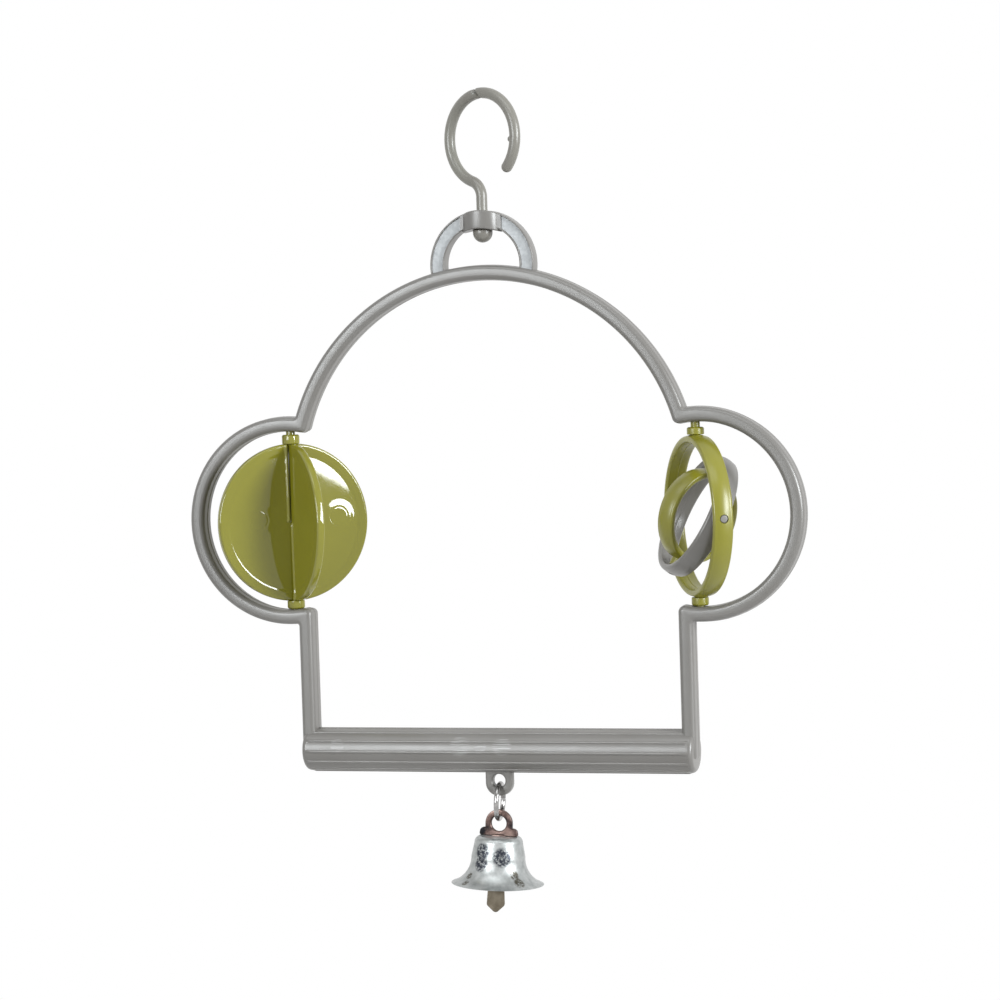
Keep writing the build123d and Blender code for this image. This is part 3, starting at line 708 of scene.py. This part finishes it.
def ring_band(radius, steps=160):
    """Moulded ring about the X axis: rounded edges, crowned outside, a fine seam round the inside."""
    half, inside = RING_HALF_WIDTH, radius - RING_WALL
    flat = half - RING_EDGE
    crown = [(RING_CROWN * (i / 8) ** 2, flat * i / 8) for i in range(9)]
    side = [(radius - drop, x) for drop, x in crown]
    side += [(radius - RING_CROWN - run, flat + rise) for run, rise in quarter(RING_EDGE, 7)[1:]]
    waist = inside + RING_CROWN / 3
    side += [(waist + run, flat + rise) for run, rise in quarter(RING_EDGE, 7)[::-1]]
    side += [(inside + drop / 3, x) for drop, x in crown[-2:0:-1]]
    seam = inside - SEAM_HEIGHT
    side += [(inside, SEAM_HALF_WIDTH), (seam, SEAM_HALF_WIDTH / 3), (seam, 0)]
    section = side + [(r, -x) for r, x in side[-2:0:-1]]
    rings = []
    for i in range(steps):
        angle = 2 * pi * (i + 0.5) / steps
        rings.append([(x, r * sin(angle), r * cos(angle)) for r, x in section])
    return skin(rings, closed=True)


def pivot_pins(ring_radius, carrier_radius):
    """Stub pins with their shoulders on both ends of a ring's upright diameter."""
    root = ring_radius - RING_WALL / 2
    shoulder_top = carrier_radius - RING_WALL - SHOULDER_GAP
    shoulder = button(SHOULDER_RADIUS, root, shoulder_top, PIN_FOOT_EDGE, PIN_TOP_EDGE)
    pin = button(PIVOT_RADIUS, root, carrier_radius - PIVOT_RECESS, PIN_FOOT_EDGE, PIN_TOP_EDGE)
    upper = together(lathe(shoulder, 48), lathe(pin, 48))
    return together(upper, moved(upper, turn(180, "X")))


def pivot_holes(radius):
    """Drills for the two pivot holes of a ring, on its upright diameter."""
    drill = lathe([(PIVOT_HOLE, radius - 2 * RING_WALL), (PIVOT_HOLE, radius + RING_WALL)], 48)
    return together(drill, moved(drill, turn(180, "X")))


outer_place = shift(GYRO_X, 0, TOY_Z) @ turn(GYRO_TURN, "Z")
middle_place = outer_place @ turn(MIDDLE_TILT, "Y")
inner_place = middle_place @ turn(INNER_TURN, "Z")
outer_ring = cut(ring_band(OUTER_RING), moved(pivot_holes(OUTER_RING), turn(90, "X")))
outer_top = pin_and_collar(OUTER_RING, GYRO_COLLAR_RADIUS, GYRO_TOP_COLLAR, GYRO_TOP_GAP)
outer_foot = moved(pin_and_collar(OUTER_RING, GYRO_COLLAR_RADIUS, FOOT_COLLAR, FOOT_GAP), turn(180, "X"))
outer_ring = moved(together(outer_ring, outer_top, outer_foot), outer_place)
make_piece("gyro_outer_ring", outer_ring, olive, "gyro_outer", "gyro_outer_ring", sharp=50)
middle_ring = cut(ring_band(MIDDLE_RING), pivot_holes(MIDDLE_RING))
middle_ring = together(middle_ring, moved(pivot_pins(MIDDLE_RING, OUTER_RING), turn(90, "X")))
middle_ring = moved(middle_ring, middle_place)
make_piece(
    "gyro_middle_ring", middle_ring, grey,
    "gyro_middle", "gyro_middle_ring", sharp=50,
)
inner_ring = moved(together(ring_band(INNER_RING), pivot_pins(INNER_RING, MIDDLE_RING)), inner_place)
make_piece("gyro_inner_ring", inner_ring, olive, "gyro_inner", "gyro_inner_ring", sharp=50)

# Jump ring. Bright steel wire, wound to one turn and closed through the lug and the hanger's eye.
# The cut ends meet half way up the rear limb with a hair's gap.
BELL_TOP_Z, BELL_LEAN = -149.083, 3.3
WIRE_RADIUS, WIRE_RING_RADIUS, WIRE_RING_YAW, WIRE_SLIT = 0.55, 3.85, 6, 0.15
WIRE_STEPS, WIRE_SIDES = 120, 24
WIRE_DARK, WIRE_LIGHT = (0.25, 0.245, 0.24), (0.45, 0.44, 0.435)
bell_place = shift(0, 0, BELL_TOP_Z) @ turn(BELL_LEAN, "Y")

wire, tree, shader, noise = new_finish("bright_wire")
shader.inputs["Metallic"].default_value = 1
steel = tint(tree, noise(1.5), (0.35, WIRE_DARK), (0.65, WIRE_LIGHT))
tree.links.new(steel, shader.inputs["Base Color"])
tree.links.new(spread(tree, noise(0.8), 0.12, 0.25), shader.inputs["Roughness"])
roughen(tree, shader, (noise(0.5), 0.006))

slit = asin(WIRE_SLIT / 2 / WIRE_RING_RADIUS)
wire_rings = []
for i in range(WIRE_STEPS + 1):
    angle = slit + (2 * pi - 2 * slit) * i / WIRE_STEPS
    ring = []
    for j in range(WIRE_SIDES):
        out = WIRE_RING_RADIUS + WIRE_RADIUS * cos(2 * pi * j / WIRE_SIDES)
        x = WIRE_RADIUS * sin(2 * pi * j / WIRE_SIDES)
        ring.append((x, out * cos(angle), out * sin(angle) - WIRE_RING_RADIUS))
    wire_rings.append(ring)
jump_ring = moved(skin(wire_rings), bell_place, turn(WIRE_RING_YAW, "Z"))
make_piece("jump_ring", jump_ring, wire, "jump_ring", "jump_ring")

# Bell hanger. A stamped steel eye plate with square shoulders, browned by heat.
# It sits on the bell's crown; its tab goes down through the crown and is staked over inside.
EYE_Z, CROWN_Z = -8.7, -11.45
EYE_HOLE_RADIUS, EYE_HOLE_EDGE, EYE_RADIUS = 1.7, 0.45, 3.05
HANGER_HALF_THICKNESS, HANGER_EDGE = 0.5, 0.2
FOOT_HALF_WIDTH, FOOT_CORNER = 4.4, 0.4
SHOULDER_HALF_WIDTH, SHOULDER_HEIGHT, SHOULDER_CORNER, NECK_CORNER = 4.15, 1.75, 0.95, 0.2
TAB_HALF_WIDTH, TAB_LENGTH, TAB_LAP = 1.5, 3.8, 0.5
BURNT, REDDENED, COPPERY = (0.012, 0.012, 0.014), (0.10, 0.066, 0.059), (0.22, 0.15, 0.13)

browned, tree, shader, noise = new_finish("browned_steel")
shader.inputs["Metallic"].default_value = 0.9
heat = tint(tree, noise(4, 3), (0.40, BURNT), (0.48, REDDENED), (0.62, COPPERY))
tree.links.new(heat, shader.inputs["Base Color"])
tree.links.new(spread(tree, noise(1.2), 0.28, 0.42), shader.inputs["Roughness"])
roughen(tree, shader, (noise(0.9, 4), 0.02))

seat = CROWN_Z - EYE_Z
eye_corner = EYE_RADIUS - 0.01
hanger_outline = outline(
    [
        (-FOOT_HALF_WIDTH, seat, FOOT_CORNER),
        (FOOT_HALF_WIDTH, seat, FOOT_CORNER),
        (SHOULDER_HALF_WIDTH, seat + SHOULDER_HEIGHT, SHOULDER_CORNER),
        (EYE_RADIUS, seat + SHOULDER_HEIGHT, NECK_CORNER),
        (EYE_RADIUS, EYE_RADIUS, eye_corner),
        (-EYE_RADIUS, EYE_RADIUS, eye_corner),
        (-EYE_RADIUS, seat + SHOULDER_HEIGHT, NECK_CORNER),
        (-SHOULDER_HALF_WIDTH, seat + SHOULDER_HEIGHT, SHOULDER_CORNER),
    ]
)
hanger = eye_plate(hanger_outline, HANGER_HALF_THICKNESS, HANGER_EDGE, EYE_HOLE_RADIUS, EYE_HOLE_EDGE)
tab = block(TAB_HALF_WIDTH, HANGER_HALF_THICKNESS, seat - TAB_LENGTH, seat + TAB_LAP)
hanger_shape = moved(together(hanger, tab), bell_place, shift(0, 0, EYE_Z))
make_piece("bell_hanger", hanger_shape, browned, "bell", "bell_hanger", sharp=50)

# Bell cup. Thin sheet steel, drawn and flared in a press and plated bright. Blue-black patches on the upper
# plating are painted reflection of the dark room on the camera's side, and brown patches lie near the mouth.
# Its mouth is a plain cut edge, and the hanger's tab holds it by the crown.
CUP_HEIGHT, CUP_WALL = 10.45, 0.5
CROWN_RADIUS, CROWN_ROUND, CROWN_CORE = 5.3, 1.4, 0.3
WAIST_RADIUS, WAIST_DROP, FLARE_RADIUS, FLARE_DROP, MOUTH_RADIUS = 5.9, 4.5, 6.85, 7.9, 10.15

PLATE_DARK, PLATE_GREY, PLATE_LIGHT = (0.30, 0.315, 0.31), (0.39, 0.405, 0.40), (0.47, 0.48, 0.475)
DARK_REFLECTION, BROWN_PATCH = (0.030, 0.034, 0.045), (0.085, 0.078, 0.060)
# Painted reflection: the blue-black patches stand for the dark room side mirrored in the plating; the brown
# patches sit lower, near the mouth.
REFLECTIONS_AND_PATCHES = (
    ((-3.0, -5.4, -163.2), 2.1, DARK_REFLECTION),
    ((-3.2, -5.5, -165.9), 2.0, DARK_REFLECTION),
    ((1.6, -5.2, -164.6), 2.4, DARK_REFLECTION),
    ((-6.1, -5.4, -168.5), 1.0, BROWN_PATCH),
    ((-6.5, -7.0, -169.7), 1.0, BROWN_PATCH),
    ((4.3, -4.6, -168.4), 1.3, BROWN_PATCH),
    ((5.4, -5.0, -169.9), 1.5, BROWN_PATCH),
)

plated, tree, shader, noise = new_finish("bright_plate")
shader.inputs["Metallic"].default_value = 0.75
zinc = tint(tree, noise(1.6, 5, 0.6), (0.3, PLATE_DARK), (0.5, PLATE_GREY), (0.7, PLATE_LIGHT))
speckle = spread(tree, noise(0.55, 5, 0.7), 0, 1, 0.38, 0.52)
tree.links.new(marked(tree, zinc, speckle, REFLECTIONS_AND_PATCHES), shader.inputs["Base Color"])
tree.links.new(spread(tree, noise(1.2, 5), 0.30, 0.44), shader.inputs["Roughness"])
roughen(tree, shader, (noise(2.2, 4), 0.03), (noise(0.6, 2), 0.008))


def circle_through(a, b, c):
    """Centre and radius of the circle through three points."""
    ax, ay = a
    bx, by = b[0] - ax, b[1] - ay
    cx, cy = c[0] - ax, c[1] - ay
    d = 2 * (bx * cy - by * cx)
    ux = (cy * (bx * bx + by * by) - by * (cx * cx + cy * cy)) / d
    uy = (bx * (cx * cx + cy * cy) - cx * (bx * bx + by * by)) / d
    return (ax + ux, ay + uy), hypot(ux, uy)


def cup_side(inset):
    """Radius and drop of the cup's wall from the crown to the mouth, at an inset from the outside."""
    row = [(CROWN_CORE, inset)]
    round_radius = CROWN_ROUND - inset
    for i in range(11):
        angle = pi / 2 * i / 10
        out, up = round_radius * sin(angle), round_radius * cos(angle)
        row.append((CROWN_RADIUS - CROWN_ROUND + out, CROWN_ROUND - up))
    waist, flare = (WAIST_RADIUS - inset, WAIST_DROP), (FLARE_RADIUS - inset, FLARE_DROP)
    mouth = (MOUTH_RADIUS - inset, CUP_HEIGHT)
    centre, radius = circle_through(waist, flare, mouth)
    start, end = bearing(centre, waist), bearing(centre, mouth)
    out, drop = row[-1]
    for i in range(1, 4):
        row.append(((out * (4 - i) + waist[0] * i) / 4, (drop * (4 - i) + waist[1] * i) / 4))
    row += [point for point, normal in arc(centre, radius, start, short_way(start, end), 30)]
    return row


cup_profile = cup_side(0) + cup_side(CUP_WALL)[::-1]
cup = lathe([(radius, CROWN_Z - drop) for radius, drop in cup_profile], 144)
make_piece("bell_cup", moved(cup, bell_place), plated, "bell", "bell_cup")

# Clapper. A flat stamped strip with a pointed foot; it hangs from the hole in the hanger's tab
# by its own bent hook, and its cut metal is left bare and dull.
CLAPPER_Z, CLAPPER_Y, CLAPPER_HALF_THICKNESS = -13.95, 1.1, 0.4
NECK_HALF_WIDTH, NECK_FOOT, PADDLE_TOP_HALF_WIDTH, PADDLE_HALF_WIDTH = 1.0, -4.6, 1.55, 2.0
NECK_SLOPE, NECK_TOP_CORNER, STRIP_CORNER, STRIP_EDGE = 1, 0.95, 0.2, 0.15
PADDLE_FOOT, POINT_FOOT, PADDLE_CORNER = -12.6, -14.47, 0.8
PADDLE_TWIST, TWIST_TOP, TWIST_LENGTH = 14, -1.5, 6
HOOK_FOOT, CLAPPER_PIN, CLAPPER_PIN_EDGE = -1.5, 0.55, 0.05
DULL_DARK, DULL_LIGHT = (0.125, 0.104, 0.074), (0.205, 0.176, 0.132)

dull, tree, shader, noise = new_finish("dull_steel")
shader.inputs["Metallic"].default_value = 0.75
bare = tint(tree, noise(2, 4), (0.35, DULL_DARK), (0.65, DULL_LIGHT))
tree.links.new(bare, shader.inputs["Base Color"])
tree.links.new(spread(tree, noise(0.8), 0.35, 0.55), shader.inputs["Roughness"])
roughen(tree, shader, (noise(0.5, 4), 0.015))

paddle = outline(
    [
        (0, POINT_FOOT, PADDLE_CORNER),
        (PADDLE_HALF_WIDTH, PADDLE_FOOT, PADDLE_CORNER),
        (PADDLE_TOP_HALF_WIDTH, NECK_FOOT, STRIP_CORNER),
        (NECK_HALF_WIDTH, NECK_FOOT + NECK_SLOPE, STRIP_CORNER),
        (NECK_HALF_WIDTH, NECK_HALF_WIDTH, NECK_TOP_CORNER),
        (-NECK_HALF_WIDTH, NECK_HALF_WIDTH, NECK_TOP_CORNER),
        (-NECK_HALF_WIDTH, NECK_FOOT + NECK_SLOPE, STRIP_CORNER),
        (-PADDLE_TOP_HALF_WIDTH, NECK_FOOT, STRIP_CORNER),
        (-PADDLE_HALF_WIDTH, PADDLE_FOOT, PADDLE_CORNER),
    ]
)
flat_strip, strip_faces = plate(paddle, CLAPPER_HALF_THICKNESS, STRIP_EDGE)
twisted = []
for x, y, z in flat_strip:
    twist = radians(PADDLE_TWIST) * min(1, max(0, (TWIST_TOP - z) / TWIST_LENGTH))
    twisted.append((x * cos(twist) - y * sin(twist), x * sin(twist) + y * cos(twist) - CLAPPER_Y, z))
strip = (twisted, strip_faces)
bent_hook = block(NECK_HALF_WIDTH, CLAPPER_HALF_THICKNESS, HOOK_FOOT, NECK_HALF_WIDTH)
bent_hook = moved(bent_hook, shift(0, CLAPPER_Y, 0))
hook_pin = lathe(button(CLAPPER_PIN, -CLAPPER_Y, CLAPPER_Y, CLAPPER_PIN_EDGE, CLAPPER_PIN_EDGE), 32)
hook_pin = moved(hook_pin, turn(90, "X"))
clapper = moved(together(strip, bent_hook, hook_pin), bell_place, shift(0, 0, CLAPPER_Z))
make_piece("clapper", clapper, dull, "clapper", "clapper", sharp=50)

# Studio. A pale paper floor in a white room, with a soft light on each side and one overhead.
# Floor and room look plain white to the camera and in reflections; the floor's white lights nothing,
# and the room's fill is stronger from behind the toy.
FLOOR_SIDE, FLOOR_FRONT, FLOOR_BACK, FLOOR_Z = 0.5, -0.28, 0.5, -0.45
PAPER_DARK, PAPER_LIGHT = (0.76, 0.76, 0.75), (0.82, 0.82, 0.81)
WHITE_RAYS = ("Is Camera Ray", "Is Glossy Ray", "Is Transmission Ray")
LAMP_TINT, LAMP_AIM = (0.96, 1, 1.02), Vector((0, 0, -0.09))

floor_mesh = bpy.data.meshes.new("floor")
corners = [(-FLOOR_SIDE, FLOOR_FRONT, FLOOR_Z), (FLOOR_SIDE, FLOOR_FRONT, FLOOR_Z)]
corners += [(FLOOR_SIDE, FLOOR_BACK, FLOOR_Z), (-FLOOR_SIDE, FLOOR_BACK, FLOOR_Z)]
floor_mesh.from_pydata(corners, [], [(0, 1, 2, 3)])
floor = bpy.data.objects.new("floor", floor_mesh)
bpy.context.scene.collection.objects.link(floor)


def white_to(tree, rays, white_kind, shader, output):
    """Plain white for the named kinds of ray, the given shader for every other one."""
    path_kind = tree.nodes.new("ShaderNodeLightPath")
    white = tree.nodes.new(white_kind)
    white.inputs["Color"].default_value = (1, 1, 1, 1)
    white.inputs["Strength"].default_value = 1
    for ray in rays:
        either = tree.nodes.new("ShaderNodeMixShader")
        tree.links.new(path_kind.outputs[ray], either.inputs["Fac"])
        tree.links.new(shader.outputs[0], either.inputs[1])
        tree.links.new(white.outputs[0], either.inputs[2])
        shader = either
    tree.links.new(shader.outputs[0], output.inputs["Surface"])


paper, tree, shader, noise = new_finish("studio_paper")
paper_tone = tint(tree, noise(40), (0.3, PAPER_DARK), (0.7, PAPER_LIGHT))
tree.links.new(paper_tone, shader.inputs["Base Color"])
shader.inputs["Roughness"].default_value = 0.9
white_to(tree, WHITE_RAYS, "ShaderNodeEmission", shader, tree.nodes["Material Output"])
paper.cycles.emission_sampling = "NONE"
floor_mesh.materials.append(paper)

world = bpy.data.worlds.new("studio_room")
world.use_nodes = True
tree = world.node_tree
room = tree.nodes["Background"]
room.inputs["Color"].default_value = (1, 1, 1, 1)
heading = tree.nodes.new("ShaderNodeTexCoord")
parts = tree.nodes.new("ShaderNodeSeparateXYZ")
tree.links.new(heading.outputs["Generated"], parts.inputs["Vector"])
tree.links.new(spread(tree, parts.outputs["Y"], 0.10, 0.95, -0.3, 0.3), room.inputs["Strength"])
white_to(tree, WHITE_RAYS, "ShaderNodeBackground", room, tree.nodes["World Output"])
bpy.context.scene.world = world


def soft_light(name, across, up, distance, width, height, watts, roll=0):
    """Soft box that faces the toy, placed by its angles from straight ahead and from level."""
    lamp = bpy.data.lights.new(name, "AREA")
    lamp.shape = "RECTANGLE"
    lamp.size, lamp.size_y, lamp.energy = width, height, watts
    lamp.color = LAMP_TINT
    light = bpy.data.objects.new(name, lamp)
    across, up = radians(across), radians(up)
    reach = Vector((sin(across) * cos(up), -cos(across) * cos(up), sin(up))) * distance
    light.location = LAMP_AIM + reach
    facing = (-reach).to_track_quat("-Z", "Y").to_matrix()
    light.rotation_euler = (facing @ turn(roll, "Z").to_3x3()).to_euler()
    bpy.context.scene.collection.objects.link(light)


soft_light("left_light", -24, 12.5, 1.1, 0.46, 0.5, 7.0)
soft_light("right_light", 71, 12.5, 1.1, 0.35, 0.52, 12.5, -28.7)
soft_light("top_light", 0, 62, 1.0, 0.9, 0.4, 2.4)

lens = bpy.data.cameras.new("camera")
lens.lens, lens.sensor_width, lens.clip_start = 119.754, 36, 0.01
camera = bpy.data.objects.new("camera", lens)
camera.location = (0.220253, -0.68914, -0.055089)
camera.rotation_euler = (radians(87.468), radians(1.7974), radians(17.493))
bpy.context.scene.collection.objects.link(camera)
bpy.context.scene.camera = camera
bpy.context.scene.view_settings.view_transform = "Standard"
